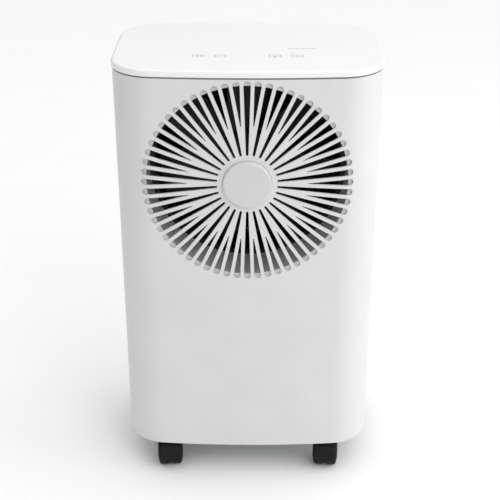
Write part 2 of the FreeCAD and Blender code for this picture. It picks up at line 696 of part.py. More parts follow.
def fan_motor():
    """The motor can, with a bearing bore for the shaft and three screw holes."""
    start = (0, "dims.shroud_back", "dims.grille_height")
    can = rod("motor_can", "dims.motor_radius", start, "dims.motor_back - dims.shroud_back - 8", "Y")
    rear = rod("motor_rear", "dims.motor_radius - 8",
               (0, "dims.motor_back - 9", "dims.grille_height"), 9, "Y")
    bores = [rod("motor_bore", "dims.shaft_radius + dims.bore_fit", start, 16, "Y")]
    bores += [rod("motor_hole_%d" % i, 2.1, (x, "dims.shroud_back", z), 8, "Y")
              for i, (x, z) in enumerate(motor_holes())]
    return cut("fan_motor", union("motor_solid", can, rear), *bores)


def motor_screws():
    return group("motor_screws", *[screw("motor_screw_%d" % i, (x, -2, z), 11, "Y", 2, 3.5, 2)
                                   for i, (x, z) in enumerate(motor_holes())])


def fan_rotor():
    """The axial fan: a hollow hub and seven pitched blades trimmed to the fan's radius."""
    front, back = "dims.fan_front", "dims.fan_back"
    centre = (0, front, "dims.grille_height")
    hub = cut("fan_hub_shell", rod("fan_hub_solid", "dims.fan_hub", centre, "%s - %s" % (back, front), "Y"),
              rod("fan_hub_hollow", "dims.fan_hub - 3", (0, front + " + 4", "dims.grille_height"), 40, "Y"))
    boss = rod("fan_boss", 9, centre, 20, "Y")
    blade = box("fan_blade", ("-dims.blade_chord / 2", "-dims.blade_thick / 2", "dims.fan_hub - 1.5"),
                ("dims.blade_chord / 2", "dims.blade_thick / 2", "dims.fan_radius + 5"))
    blades = []
    step = 360 / number("dims.blade_count")
    for index in range(int(number("dims.blade_count"))):
        pitched = group("fan_blade_%d" % index, blade)
        roll = Rotation(Vector(0, 1, 0), step * index) * Rotation(Vector(0, 0, 1), number("dims.blade_pitch"))
        place(pitched, 0, "(%s + %s) / 2" % (front, back), "dims.grille_height", roll)
        blades.append(pitched)
    swept = overlap("fan_blades", union("fan_blades_long", *blades),
                    tube("fan_reach", "dims.fan_radius", "dims.fan_hub - 2", centre,
                         "%s - %s" % (back, front), "Y"))
    return cut("fan_rotor", union("fan_solid", hub, boss, swept),
               rod("fan_bore", "dims.shaft_radius", (0, -60, "dims.grille_height"), 120, "Y"))


def fan_shaft():
    return rod("fan_shaft", "dims.shaft_radius", (0, "dims.fan_front - 6", "dims.grille_height"),
               "dims.shroud_back + 14 - dims.fan_front + 6", "Y")


def fan_nut():
    """The hexagon nut that clamps the rotor on its shaft."""
    nut = document.addObject("Part::Prism", "nut_block")
    nut.Polygon = 6
    nut.Circumradius = 6.5
    nut.Height = 4
    place(nut, 0, "dims.fan_front - 4", "dims.grille_height", AXES["Y"])
    return cut("fan_nut", nut, rod("nut_bore", "dims.shaft_radius", (0, -60, "dims.grille_height"), 60, "Y"))


# ---------------------------------------------------------------- refrigerant loop


def tube_heights():
    first, pitch = number("dims.tube_first"), number("dims.tube_pitch")
    return [first + pitch * row for row in range(int(number("dims.tube_rows")))]


def fins(name, depth):
    """A stack of thin upright plates, bored for the tube."""
    side, pitch, thick = [number("dims." + word) for word in ("coil_side", "fin_pitch", "fin_thick")]
    bottom, top, deep = [number("dims." + word) for word in ("coil_bottom", "coil_top", "fin_depth")]
    middle = number(depth)
    plate = Part.makeBox(thick, deep, top - bottom, Vector(-side, middle - deep / 2, bottom))
    bore = number("dims.tube_radius + dims.bore_fit")
    for height in tube_heights():
        plate = plate.cut(Part.makeCylinder(bore, 4, Vector(-side - 1, middle, height), Vector(1, 0, 0)))
    count = int((2 * side - thick) / pitch) + 1
    plates = [plate.translated(Vector(index * pitch, 0, 0)) for index in range(count)]
    return from_shape(name, Part.makeCompound(plates))


def serpentine(name, depth):
    """One tube that runs to and fro through the fins, with both ends on the left."""
    side, middle, end = number("dims.coil_side") + 2, number(depth), number("dims.coil_side") + 6
    half, radius = number("dims.tube_pitch") / 2, number("dims.tube_radius")
    heights = tube_heights()
    edges = []
    for row, height in enumerate(heights):
        start, stop = (-side, side) if row % 2 == 0 else (side, -side)
        start = -end if row == 0 else start
        stop = -end if row == len(heights) - 1 else stop
        edges.append(Part.LineSegment(Vector(start, middle, height), Vector(stop, middle, height)).toShape())
        if row < len(heights) - 1:
            bulge = math.copysign(half, stop)
            edges.append(Part.Arc(Vector(stop, middle, height),
                                  Vector(stop + bulge, middle, height + half),
                                  Vector(stop, middle, heights[row + 1])).toShape())
    section = Part.Wire(Part.makeCircle(radius, Vector(-end, middle, heights[0]), Vector(1, 0, 0)))
    return from_shape(name, Part.Wire(edges).makePipeShell([section], True, False))


def loop_pipes():
    """The pipes between the compressor and the coils, and the thin tube between the two coils."""
    radius, end = number("dims.tube_radius"), -number("dims.coil_side") - 6
    low, high = tube_heights()[0], tube_heights()[-1]
    hot, cold = number("dims.condenser_place"), number("dims.evaporator_place")
    dome = number("dims.compressor_bottom + dims.compressor_height")
    middle, depth = number("dims.compressor_across"), number("dims.compressor_depth")
    pieces = {}
    for word, shift, level, coil in (("discharge", -15, 250, hot), ("suction", 15, 268, cold)):
        start = Vector(middle - shift, depth + shift, dome)
        side = number("dims.%s_side" % word)
        points = [start, Vector(start.x, start.y, level), Vector(side, start.y, level),
                  Vector(side, coil, level), Vector(side, coil, low), Vector(end, coil, low)]
        pieces[word + "_pipe"] = from_shape(word + "_pipe", pipe(points, 8, radius))
    points = [Vector(end, hot, high), Vector(end - 12, hot, high), Vector(end - 12, cold, high),
              Vector(end, cold, high)]
    pieces["capillary_tube"] = from_shape("capillary_tube", pipe(points, 6, 1.5))
    return pieces


def compressor_tabs():
    """The places of the three feet, as formulas."""
    for turn in (0, 120, 240):
        angle = math.radians(turn)
        yield ("dims.compressor_across + dims.tab_circle * %.6f" % math.cos(angle),
               "dims.compressor_depth + dims.tab_circle * %.6f" % math.sin(angle))


def compressor():
    """The sealed can with rounded ends, two pipe stubs' seats and three tabs."""
    body = revolved("compressor_can", [(0, 0), ("dims.compressor_radius", 0),
                                       ("dims.compressor_radius", "dims.compressor_height"),
                                       (0, "dims.compressor_height")])
    fillet(body, 16, lambda edge: edge.BoundBox.XMax > 10 and edge.BoundBox.YLength < 0.01)
    place(body, "dims.compressor_across", "dims.compressor_depth", "dims.compressor_bottom",
          Rotation(Vector(1, 0, 0), 90))
    plate = rod("compressor_plate", "dims.compressor_radius - 4",
                ("dims.compressor_across", "dims.compressor_depth", "dims.compressor_bottom - 2"), 4)
    tabs, holes = [], []
    for index, (x, y) in enumerate(compressor_tabs()):
        tabs.append(rod("compressor_tab_%d" % index, 10, (x, y, "dims.compressor_bottom - 2"), 3))
        holes.append(rod("compressor_hole_%d" % index, 3.2, (x, y, "dims.compressor_bottom - 5"), 20))
    return cut("compressor", union("compressor_solid", body, plate, *tabs), *holes)


def compressor_feet():
    """Three rubber bushes between the pan and the compressor's tabs."""
    return group("compressor_feet", *[
        tube("compressor_foot_%d" % index, 8, 3.2, (x, y, PAN_TOP),
             "dims.compressor_bottom - 2 - dims.ground_gap - dims.pan_thick")
        for index, (x, y) in enumerate(compressor_tabs())])


def compressor_bolts():
    items = []
    for index, (x, y) in enumerate(compressor_tabs()):
        bolt = screw("compressor_bolt_%d" % index, (0, 0, 0), 18, "Z", 3, 4.5, 4)
        place(bolt, x, y, "dims.compressor_bottom + 5", Rotation(Vector(1, 0, 0), 180))
        items.append(bolt)
    return group("compressor_bolts", *items)


# ---------------------------------------------------------------- electrics


def electrics_box():
    """The closed box beside the compressor, with a lid that stands proud all round."""
    case = box("electrics_case", (8, -92, 60), (98, -18, 140))
    cover = box("electrics_lid", (6, -94, 140), (100, -16, 144))
    feet = [box("electrics_foot_%d" % across, (across - 6, -60, PAN_TOP), (across + 6, -48, 60))
            for across in (22, 84)]
    return union("electrics_box", case, cover, *feet)


def run_capacitor():
    """The capacitor that stands on the electrics box."""
    return union("run_capacitor", rod("capacitor_can", 17, (53, -55, 144), 62),
                 rod("capacitor_cap", 9, (53, -55, 206), 6))


def control_board():
    """The board under the lid, with its connector and two chips below it."""
    board = box("board_plate", (-95, -82, COVER_TOP + " - 3.6"), (95, -18, COVER_TOP + " - 2"))
    parts = [box("board_part_%d" % x, ("%d - 8" % x, -40, COVER_TOP + " - 8"),
                 ("%d + 8" % x, -28, COVER_TOP + " - 3")) for x in (-80, 80)]
    return union("control_board", board, *parts)


def level_switch():
    """The magnetic switch on the bay wall, level with the float's magnet."""
    return box("level_switch", (-89, 5.5, 158), (-69, 9.5, 172))


# ---------------------------------------------------------------- rear fittings


def side_grip():
    """A moulded cup in the right-hand opening of the rear cover."""
    depth = "%s - dims.grip_depth" % SIDE
    outside = box("grip_outside", (depth, "dims.grip_front + dims.room", "dims.grip_bottom + dims.room"),
                  (SIDE, "dims.grip_back - dims.room", "dims.grip_top - dims.room"))
    inside = box("grip_inside", (depth + " + 2", "dims.grip_front + 2.5", "dims.grip_bottom + 2.5"),
                 ("dims.lid_width", "dims.grip_back - 2.5", "dims.grip_top - 2.5"))
    return cut("side_grip_right", outside, inside)


def drain_spigot():
    """The hose spigot of the drip tray: a flange against the tray, a shoulder and the free barrel."""
    start = ("dims.spigot_place", 90, "dims.service_height")
    solid = union("spigot_solid", rod("spigot_flange", 11, start, 2.5, "Y"),
                  rod("spigot_shoulder", "dims.spigot_root", start, "dims.recess_floor - 90", "Y"),
                  rod("spigot_barrel", "dims.spigot_radius", start, "dims.spigot_end - 90", "Y"))
    return cut("drain_spigot", solid, rod("spigot_bore_way", "dims.spigot_bore", start, 60, "Y"))


def drain_plug():
    """The rubber plug that closes the spigot."""
    return union("drain_plug",
                 rod("plug_shank", "dims.spigot_bore - dims.bore_fit",
                     ("dims.spigot_place", "dims.spigot_end - 9", "dims.service_height"), 9.5, "Y"),
                 rod("plug_head", "dims.spigot_radius - 0.6",
                     ("dims.spigot_place", "dims.spigot_end + 0.1", "dims.service_height"),
                     "dims.plug_end - dims.spigot_end - 0.1", "Y"))


def cord_gland():
    """The gland for the mains cord, with a flange on the rear face."""
    start = ("dims.gland_place", 98, "dims.service_height")
    solid = union("gland_solid", rod("gland_barrel", "dims.gland_radius", start, 15, "Y"),
                  rod("gland_flange", 10, ("dims.gland_place", FACE, "dims.service_height"), 3, "Y"))
    return cut("cord_gland", solid, rod("gland_way", 3.6, start, 60, "Y"))


def filter_frame():
    """The air filter's frame, its rear grid and its pull tab."""
    side, low, high = "dims.filter_side - 0.5", "dims.filter_bottom + 0.5", "dims.filter_top - 0.5"
    start = "dims.filter_front"
    rim = cut("filter_rim", box("filter_block", ("-(%s)" % side, start, low), (side, FACE, high)),
              box("filter_middle", ("-(%s) + 4" % side, "0", low + " + 4"),
                  (side + " - 4", "dims.lid_depth", high + " - 4")))
    bars = [box("filter_post_%d" % x, ("%d - 1" % x, 105, low + " + 2"), ("%d + 1" % x, FACE, high + " - 2"))
            for x in range(-108, 109, 12)]
    bars += [box("filter_bar_%d" % z, ("-(%s) + 2" % side, 105, "%d - 1" % z),
                 (side + " - 2", FACE, "%d + 1" % z))
             for z in (384, 428, 472, 516)]
    tab = box("filter_tab", (-22, FACE + " - 3", high + " - 3.5"), (22, FACE + " + 4", high + " - 1"))
    return union("filter_frame", rim, tab, *bars)


def filter_mesh():
    """The washable net inside the frame."""
    side, low, high = "dims.filter_side - 4.5", "dims.filter_bottom + 4.5", "dims.filter_top - 4.5"
    return box("filter_mesh", ("-(%s)" % side, 104.2, low), (side, 105, high))


# ---------------------------------------------------------------- bucket


def bucket():
    """The open-topped bucket with its rear panel, handle pivots and float pin."""
    side, front, rear = "dims.bucket_side", "dims.bucket_front", FACE + " - 3"
    low, high = "dims.bucket_bottom", "dims.bucket_top"
    body = box("bucket_block", ("-" + side, front, low), (side, rear, high))
    panel = box("bucket_panel", ("-dims.window_side + 0.5", rear, low),
                ("dims.window_side - 0.5", FACE, "dims.window_top - 0.5"))
    hollow = box("bucket_hollow", ("-%s + 2.5" % side, front + " + 2.5", low + " + 2.5"),
                 (side + " - 2.5", rear + " - 2.5", "dims.overall_height"))
    shell = cut("bucket_shell", union("bucket_solid", body, panel), hollow,
                box("bucket_view", (-8, 100, 80), (8, 120, 180)),
                # the panel above the body is open behind, so fingers can hook over it
                box("panel_cut", ("-dims.window_side", 0, high), ("dims.window_side", rear, 230)))
    depth, height = "dims.handle_pivot_depth", "dims.handle_pivot_height"
    pivots = [rod("handle_pivot_right", 3, (side + " - 6", depth, height), 5, "X"),
              rod("handle_pivot_left", 3, ("-%s + 1" % side, depth, height), 5, "X")]
    pin = rod("float_pin", 2,
              ("-%s + 1" % side, "dims.float_pivot_depth", "dims.float_pivot_height"), 18, "X")
    return union("bucket", shell, pin, *pivots)


def bucket_window():
    """The clear level window in the rear of the bucket."""
    return box("bucket_window", (-8, FACE + " - 5.5", 80), (8, FACE, 180))


def bucket_handle():
    """The bail handle, folded back over the bucket: two arms with eyes, and a round grip."""
    arms = []
    outer = "dims.bucket_side - 3"
    depth, height = "dims.handle_pivot_depth", "dims.handle_pivot_height"
    for name, start in (("right", outer + " - 3"), ("left", "-(%s)" % outer)):
        bar = box("handle_arm_" + name, (start, depth, height + " - 4"),
                  (start + " + 3", depth + " + dims.handle_arm", height + " + 4"))
        eye = rod("handle_eye_" + name, 6, (start, depth, height), 3, "X")
        arms += [bar, eye]
    grip = rod("handle_grip", "dims.handle_grip", ("-(%s)" % outer, depth + " + dims.handle_arm", height),
               "2 * (%s)" % outer, "X")
    holes = [rod("handle_hole", "3 + dims.bore_fit", (-150, depth, height), 300, "X")]
    return cut("bucket_handle", union("handle_solid", grip, *arms), *holes)


def bucket_float():
    """The float block with its arm, an eye round the pin and a pocket for the magnet."""
    block = box("float_block", (-94, 18, 152), (-64, 42, 176))
    arm = box("float_arm", (-92, 40, 161), (-86, "dims.float_pivot_depth", 169))
    depth, height = "dims.float_pivot_depth", "dims.float_pivot_height"
    eye = rod("float_eye", 5, (-92, depth, height), 6, "X")
    hole = rod("float_hole", "2 + dims.bore_fit", (-110, depth, height), 40, "X")
    seat = rod("magnet_seat", 4, (-79, 17, 164), 6, "Y")
    return cut("bucket_float", union("float_solid", block, arm, eye), hole, seat)


def float_magnet():
    return rod("float_magnet", 4, (-79, 18, 164), 5, "Y")


# ---------------------------------------------------------------- casters


def caster_frame(name):
    """A caster's hood, web between the wheels, collar and stem, with the stem on the Z axis."""
    trail, middle, hood = "dims.caster_trail", "dims.wheel_radius", "dims.wheel_radius + 1"
    shell = revolved(name + "_hood", [
        (hood, -16.2), (hood + " + 0.8", -16.2), (hood + " + 2.6", -12), (hood + " + 2.6", 12),
        (hood + " + 0.8", 16.2), (hood, 16.2)], 180, True)
    place(shell, trail, 0, middle)
    half = "dims.wheel_inner - dims.room"
    web = rod(name + "_web", hood + " + 1", (trail, "-(%s)" % half, middle), "2 * (%s)" % half, "Y")
    web.Angle = 180
    web.Placement = Placement(web.Placement.Base, AXES["Y"] * Rotation(Vector(0, 0, 1), 180))
    disc = rod(name + "_disc", "dims.wheel_radius - 1.5", (trail, "-(%s)" % half, middle),
               "2 * (%s)" % half, "Y")
    collar = rod(name + "_collar", 7.5, (0, 0, 30), "dims.ground_gap - dims.room - 30")
    wheel_space = rod(name + "_space", hood, (trail, -20, middle), 40, "Y")
    stem = rod(name + "_stem", "dims.stem_radius", (0, 0, "dims.ground_gap - 2"),
               "dims.stem_top - dims.ground_gap + 2")
    solid = union(name + "_solid", shell, web, disc, cut(name + "_collar_cut", collar, wheel_space), stem)
    return cut(name + "_frame", solid, rod(name + "_bore", "dims.axle_radius", (trail, -30, middle), 60, "Y"))


def caster_wheel(name, side):
    """One twin wheel: a tread with a rounded shoulder and a domed outer face."""
    inner, outer, edge = "dims.wheel_inner", "dims.wheel_outer", "dims.wheel_edge"
    bore = "dims.axle_radius + dims.bore_fit"
    body = revolved(name, [(bore, inner), ("dims.wheel_radius", inner), ("dims.wheel_radius", edge),
                           (15.5, edge + " + 2"), (8.5, outer), (7, outer + " - 0.8"),
                           (bore, outer + " - 0.8")])
    rims = {number(edge): 2.5, number(edge + " + 2"): 14}
    for level, radius in rims.items():
        fillet(body, radius, lambda rim: rim.BoundBox.YLength < 0.01 and rim.BoundBox.XMax > 12
               and abs(rim.BoundBox.YMin - level) < 0.05)
    turn = Rotation() if side > 0 else Rotation(Vector(0, 0, 1), 180)
    return place(body, "dims.caster_trail", 0, "dims.wheel_radius", turn)


def caster(spot, x, y):
    """The four pieces of one caster, set at its swivel axis and turned to its rest direction."""
    name = "caster_" + spot
    pieces = {
        name + "_frame": caster_frame(name),
        name + "_axle": rod(name + "_axle_rod", "dims.axle_radius",
                            ("dims.caster_trail", -16, "dims.wheel_radius"), 32, "Y"),
        name + "_wheel_left": caster_wheel(name + "_left", 1),
        name + "_wheel_right": caster_wheel(name + "_right", -1),
    }
    side = 1 if spot.endswith("right") else -1
    heading = Rotation(Vector(0, 0, 1), number("dims.caster_turn - %d * dims.caster_toe" % side))
    placed = {}
    for label, item in pieces.items():
        holder = group(label + "_placed", item)
        placed[label] = place(holder, x, y, 0, heading)
    return placed


# ---------------------------------------------------------------- assembly


def build():
    """Every sub-part, by the name of its node."""
    makers = [
        front_cover, rear_cover, top_lid, lid_seal, hub_cap, base_pan, caster_sockets, base_screws,
        cover_screws, mid_deck, drip_tray, bay_wall, air_duct, fan_shroud, fan_motor, motor_screws, fan_rotor,
        fan_shaft, fan_nut, compressor, compressor_feet, compressor_bolts, electrics_box,
        run_capacitor, control_board, level_switch, drain_spigot, drain_plug, cord_gland,
        filter_frame, filter_mesh, bucket, bucket_window, bucket_handle, bucket_float, float_magnet]
    nodes = {maker.__name__: maker() for maker in makers}
    nodes["side_grip_right"] = side_grip()
    nodes["side_grip_left"] = mirrored("side_grip_left", nodes["side_grip_right"], Vector(1, 0, 0))
    for word in ("condenser", "evaporator"):
        place_word = "dims.%s_place" % word
        nodes[word + "_fins"] = fins(word + "_fins", place_word)
        nodes[word + "_tubes"] = serpentine(word + "_tubes", place_word)
    nodes.update(loop_pipes())
    for spot, x, y in caster_spots():
        nodes.update(caster(spot, x, y))
    return nodes


def check(nodes):
    """Stop if any object failed, or if any sub-part is not a valid solid."""
    for item in document.Objects:
        if {"Invalid", "Error"} & set(item.State):
            raise RuntimeError("%s: %s" % (item.Name, item.State))
    for label, item in nodes.items():
        if item.Shape.isNull() or not item.Shape.isValid() or not item.Shape.Solids:
            raise RuntimeError(label + " is not a valid solid")


def write(nodes):
    os.makedirs("parts", exist_ok=True)
    for label, item in nodes.items():
        item.Label = label
        item.Shape.exportStep("parts/%s.step" % label)


fill_sheet()
sub_parts = build()
document.recompute()
check(sub_parts)
write(sub_parts)
print("wrote %d sub-parts" % len(sub_parts))
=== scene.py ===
"""The looks of a white compressor dehumidifier on casters, laid out as an add-on and run as a script."""

import math

import bmesh
import bpy
from bpy.props import FloatProperty, FloatVectorProperty, PointerProperty
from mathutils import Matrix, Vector


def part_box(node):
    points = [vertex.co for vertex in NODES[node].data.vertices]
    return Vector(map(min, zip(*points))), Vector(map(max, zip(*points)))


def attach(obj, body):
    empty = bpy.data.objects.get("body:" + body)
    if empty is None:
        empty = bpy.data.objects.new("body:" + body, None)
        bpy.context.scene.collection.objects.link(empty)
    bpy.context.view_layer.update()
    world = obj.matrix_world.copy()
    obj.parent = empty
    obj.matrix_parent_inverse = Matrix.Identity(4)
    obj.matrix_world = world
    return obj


bl_info = {
    "name": "Dehumidifier looks",
    "version": (1, 0, 0),
    "blender": (4, 5, 0),
    "location": "3D View > Sidebar > Dehumidifier",
    "description": "Finishes and fine pieces of a dehumidifier with a round radial grille",
    "category": "Object",
}

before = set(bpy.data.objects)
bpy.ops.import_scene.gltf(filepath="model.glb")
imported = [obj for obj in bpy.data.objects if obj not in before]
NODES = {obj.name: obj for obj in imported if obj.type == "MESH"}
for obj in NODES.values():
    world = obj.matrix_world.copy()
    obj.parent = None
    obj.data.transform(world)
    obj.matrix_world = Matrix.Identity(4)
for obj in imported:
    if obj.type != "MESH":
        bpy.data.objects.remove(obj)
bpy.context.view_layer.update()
MM = 0.001

# a key's outline: how far the straight front and back and the slanted ends reach, as parts of its half size
KEY_STRAIGHT = 0.72
KEY_END = 0.78
KEY_END_RISE = 0.8

# the stage, in metres
FLOOR_HALF = 6.0
KEY_LIGHT = {"size": 0.9, "place": (0.85, -1.5, 1.9)}
SIDE_LIGHT = {"size": 1.5, "place": (2.2, -0.3, 1.0)}
LIGHT_AIM = (0, 0, 0.3)
CAMERA_PLACE = (0.0116, -1.4012, 0.9897)
SENSOR_MM = 36


# ---------------------------------------------------------------- colours and places


def linear(code):
    """An sRGB hex code as the linear colour that shaders take."""
    parts = [int(code[i:i + 2], 16) / 255 for i in (0, 2, 4)]
    return tuple(c / 12.92 if c <= 0.04045 else ((c + 0.055) / 1.055) ** 2.4 for c in parts)


def colour(name, description, code):
    """A colour property whose default is an sRGB hex code."""
    return FloatVectorProperty(name=name, description=description, subtype="COLOR", size=3,
                               min=0, max=1, default=linear(code))


def length(name, description, value):
    """A length property in metres."""
    return FloatProperty(name=name, description=description, default=value, min=0, unit="LENGTH",
                         precision=5)


def low(node):
    return Vector(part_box(node)[0])


def high(node):
    return Vector(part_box(node)[1])


# ---------------------------------------------------------------- settings


class DehumidifierFinish(bpy.types.PropertyGroup):
    """Colours and edge sizes of the object."""

    cover: colour("Cover", "Moulded covers", "D7D7D7")
    lid: colour("Lid", "Lid plate", "EFEFEF")
    hub: colour("Hub", "Cap in the middle of the grille", "CECECE")
    duct: colour("Duct", "Duct wall behind the grille", "C6C6C6")
    black: colour("Black", "Fan, shroud and casters", "141415")
    ink: colour("Ink", "Printed marks on the lid", "6E6E6E")
    # the seal's dark grey is painted shade: it stands in for the shadow in the gap between the covers and
    # the lid
    grey: colour("Grey", "Inner mouldings", "B4B6B8")
    seal: colour("Seal", "Soft strip under the lid", "7C7C7D")
    cover_edge: length("Cover edge", "Rounding of the slots and windows", 0.35 * MM)
    small_edge: length("Small edge", "Rounding of small mouldings", 0.25 * MM)


class DehumidifierKeys(bpy.types.PropertyGroup):
    """The printed touch keys in their shallow dishes on the lid."""

    inner: length("Inner pair", "Distance from the middle to each inner key", 34.4 * MM)
    outer: length("Outer pair", "Distance from the middle to each outer key", 61.9 * MM)
    row: length("Row", "Distance from the lid's front edge to the row of keys", 65.9 * MM)
    width: length("Width", "Width of a key's outline", 15.4 * MM)
    depth: length("Depth", "Depth of a key's outline from front to back", 10.8 * MM)
    stroke: length("Stroke", "Width of a bold printed line", 1.0 * MM)
    hairline: length("Hairline", "Width of a fine printed line", 0.45 * MM)
    dish: length("Dish", "Depth of the dishes and grooves that hold the ink", 0.1 * MM)
    ink: length("Ink", "Height of the ink", 0.05 * MM)
    lamp_start: length("Lamp start", "Left end of the indicator line", 54.3 * MM)
    lamp_end: length("Lamp end", "Right end of the indicator line", 59.1 * MM)
    lamp_row: length("Lamp row", "Distance from the lid's front edge to the indicator line", 81 * MM)
    display_start: length("Display start", "Left end of the display line", 51.6 * MM)
    display_end: length("Display end", "Right end of the display line", 86.6 * MM)
    display_row: length("Display row", "Distance from the lid's front edge to the display line", 99.5 * MM)
    line: length("Line", "Width of the indicator and display lines", 0.9 * MM)


class DehumidifierStage(bpy.types.PropertyGroup):
    """Floor, light and camera."""

    floor: colour("Floor", "Painted floor", "F3F3F3")
    key: FloatProperty(name="Key", description="Power of the light at the front right", default=8,
                       unit="POWER")
    side: FloatProperty(name="Side", description="Power of the light at the right", default=15,
                        unit="POWER")
    zenith: FloatProperty(name="Zenith", description="Strength of the white surroundings overhead",
                          default=1.41)
    horizon: FloatProperty(name="Horizon", description="Their strength at the horizon", default=0.26)
    lean: FloatProperty(name="Lean", description="How much more light comes from the right", default=0.24)
    lens: FloatProperty(name="Lens", description="Focal length, mm", default=80.34)
    tilt: FloatProperty(name="Tilt", description="Downward tilt of the camera",
                        default=math.radians(26.22), subtype="ANGLE")
    heading: FloatProperty(name="Heading", description="Turn of the camera to the left",
                           default=math.radians(0.36), subtype="ANGLE")


# ---------------------------------------------------------------- materials


def add(tree, kind, inputs=None, **settings):
    """Add one node with its settings, and set or link its inputs."""
    node = tree.nodes.new("ShaderNode" + kind)
    for word, value in settings.items():
        setattr(node, word, value)
    for word, value in (inputs or {}).items():
        if isinstance(value, bpy.types.NodeSocket):
            tree.links.new(value, node.inputs[word])
        else:
            node.inputs[word].default_value = value
    return node


def shader(name, base, roughness, ior=None, **extra):
    """A new material with its principled shader, and the object coordinates for its patterns."""
    material = bpy.data.materials.new(name)
    material.use_nodes = True
    tree = material.node_tree
    principled = tree.nodes["Principled BSDF"]
    principled.inputs["Base Color"].default_value = (*base, 1)
    principled.inputs["Roughness"].default_value = roughness
    if ior:
        principled.inputs["IOR"].default_value = ior
    for word, value in extra.items():
        principled.inputs[word.replace("_", " ").title()].default_value = value
    place = add(tree, "TexCoord").outputs["Object"]
    return material, tree, principled, place


def noise(tree, place, size_mm, detail=2.0):
    """Noise whose features are about size_mm across."""
    return add(tree, "TexNoise", {"Vector": place, "Scale": 1000 / size_mm, "Detail": detail}).outputs["Fac"]


def ramp(tree, value, first, second, start=0.0, end=1.0):
    """Blend two colours or greys over a stretch of a value."""
    node = add(tree, "ValToRGB", {"Fac": value})
    node.color_ramp.elements[0].position = start
    node.color_ramp.elements[1].position = end
    node.color_ramp.elements[0].color = (*first, 1)
    node.color_ramp.elements[1].color = (*second, 1)
    return node.outputs["Color"]


def bump(tree, principled, value, height_mm, strength=1.0):
    """Raise the surface by a pattern of the given real height."""
    node = add(tree, "Bump", {"Height": value, "Distance": height_mm * MM, "Strength": strength})
    tree.links.new(node.outputs["Normal"], principled.inputs["Normal"])


def shade(base, factor):
    return tuple(min(1.0, c * factor) for c in base)


def moulded(name, base, roughness, ior, grain_mm, grain_height, spread=0.02, gloss_spread=0.05):
    """A moulded plastic: even colour with faint flow marks, and a spark-eroded grain."""
    material, tree, principled, place = shader(name, base, roughness, ior)
    flow = noise(tree, place, 60, 3)
    tint = ramp(tree, flow, shade(base, 1 - spread), shade(base, 1 + spread), 0.3, 0.7)
    tree.links.new(tint, principled.inputs["Base Color"])
    fine = noise(tree, place, grain_mm, 2)
    rough = add(tree, "MapRange", {"Value": fine, "To Min": roughness - gloss_spread,
                                   "To Max": roughness + gloss_spread}).outputs["Result"]
    tree.links.new(rough, principled.inputs["Roughness"])
    bump(tree, principled, fine, grain_height)
    return material


def moulded_abs_cover(finish):
    # injection-moulded ABS from a fine spark-eroded tool: matt white, with soft broad highlights
    return moulded("moulded_abs_cover", tuple(finish.cover), 0.42, 1.53, 0.9, 0.008)


def polished_abs_lid(finish):
    # ABS from a polished tool: a cleaner white that mirrors the light a little
    return moulded("polished_abs_lid", tuple(finish.lid), 0.24, 1.53, 1.6, 0.002, 0.008, 0.03)


def polished_abs_hub(finish):
    # the same ABS on the small cap, with a tighter highlight round its edge
    return moulded("polished_abs_hub", tuple(finish.hub), 0.26, 1.53, 1.6, 0.002, 0.01, 0.03)


def moulded_pp_duct(finish):
    # grey polypropylene, waxy and dull, darker where the tool was textured
    return moulded("moulded_pp_duct", tuple(finish.duct), 0.5, 1.49, 1.2, 0.02, 0.04)


def moulded_abs_black(finish):
    # black ABS of the fan and its shroud: near black with a dull sheen
    return moulded("moulded_abs_black", shade(tuple(finish.black), 0.6), 0.45, 1.53, 1.2, 0.02, 0.1)


def moulded_nylon_caster(finish):
    # glass-filled nylon of the casters' hoods: dull black, with a faint fibre mottle; darkened past its
    # black as painted shade
    return moulded("moulded_nylon_caster", shade(tuple(finish.black), 0.35), 0.62, 1.36, 1.5, 0.02,
                   0.12, 0.08)


def moulded_nylon_wheel(finish):
    # solid nylon wheels, scuffed a little lighter and rougher on the tread; darkened past their black as
    # painted shade
    return moulded("moulded_nylon_wheel", shade(tuple(finish.black), 0.4), 0.64, 1.36, 2.0, 0.03, 0.15, 0.1)


def moulded_pp_grey(finish):
    # light grey polypropylene of the pan, deck and tray
    return moulded("moulded_pp_grey", tuple(finish.grey), 0.48, 1.49, 1.2, 0.02, 0.03)


def moulded_pp_white(finish):
    # white polypropylene of the filter frame, slightly waxier than the covers
    return moulded("moulded_pp_white", linear("D2D3D4"), 0.46, 1.49, 1.0, 0.015, 0.02)


def moulded_rubber():
    # nitrile rubber: dead black and dull, with a coarse tool grain
    return moulded("moulded_rubber", linear("17181A"), 0.75, 1.52, 0.8, 0.05, 0.1)


def tpe_seal_painted_shade(finish):
    # grey thermoplastic elastomer: soft and matt, with a fine tool grain; its dark grey is painted shade for
    # the gap under the lid
    return moulded("tpe_seal_painted_shade", tuple(finish.seal), 0.65, 1.5, 0.8, 0.02, 0.04)


def woven_nylon_net():
    # black nylon monofilament, a little shiny along each thread
    return moulded("woven_nylon_net", linear("2A2B2D"), 0.4, 1.53, 0.8, 0.01, 0.1)


def printed_ink(finish):
    # screen-printed grey ink, slightly uneven at its edges
    return moulded("printed_ink", tuple(finish.ink), 0.5, 1.5, 1.0, 0.004, 0.08)


def metal(name, base, roughness, spread, size, stretch, height):
    """A bare metal whose brightness and gloss vary along its rolled or drawn direction."""
    material, tree, principled, place = shader(name, base, roughness, Metallic=1.0)
    drawn = add(tree, "Mapping", {"Vector": place, "Scale": stretch}).outputs["Vector"]
    grain = noise(tree, drawn, size, 4)
    tint = ramp(tree, grain, shade(base, 1 - spread), shade(base, 1 + spread), 0.3, 0.7)
    tree.links.new(tint, principled.inputs["Base Color"])
    rough = add(tree, "MapRange", {"Value": grain, "To Min": roughness * 0.8,
                                   "To Max": roughness * 1.3}).outputs["Result"]
    tree.links.new(rough, principled.inputs["Roughness"])
    bump(tree, principled, grain, height)
    return material


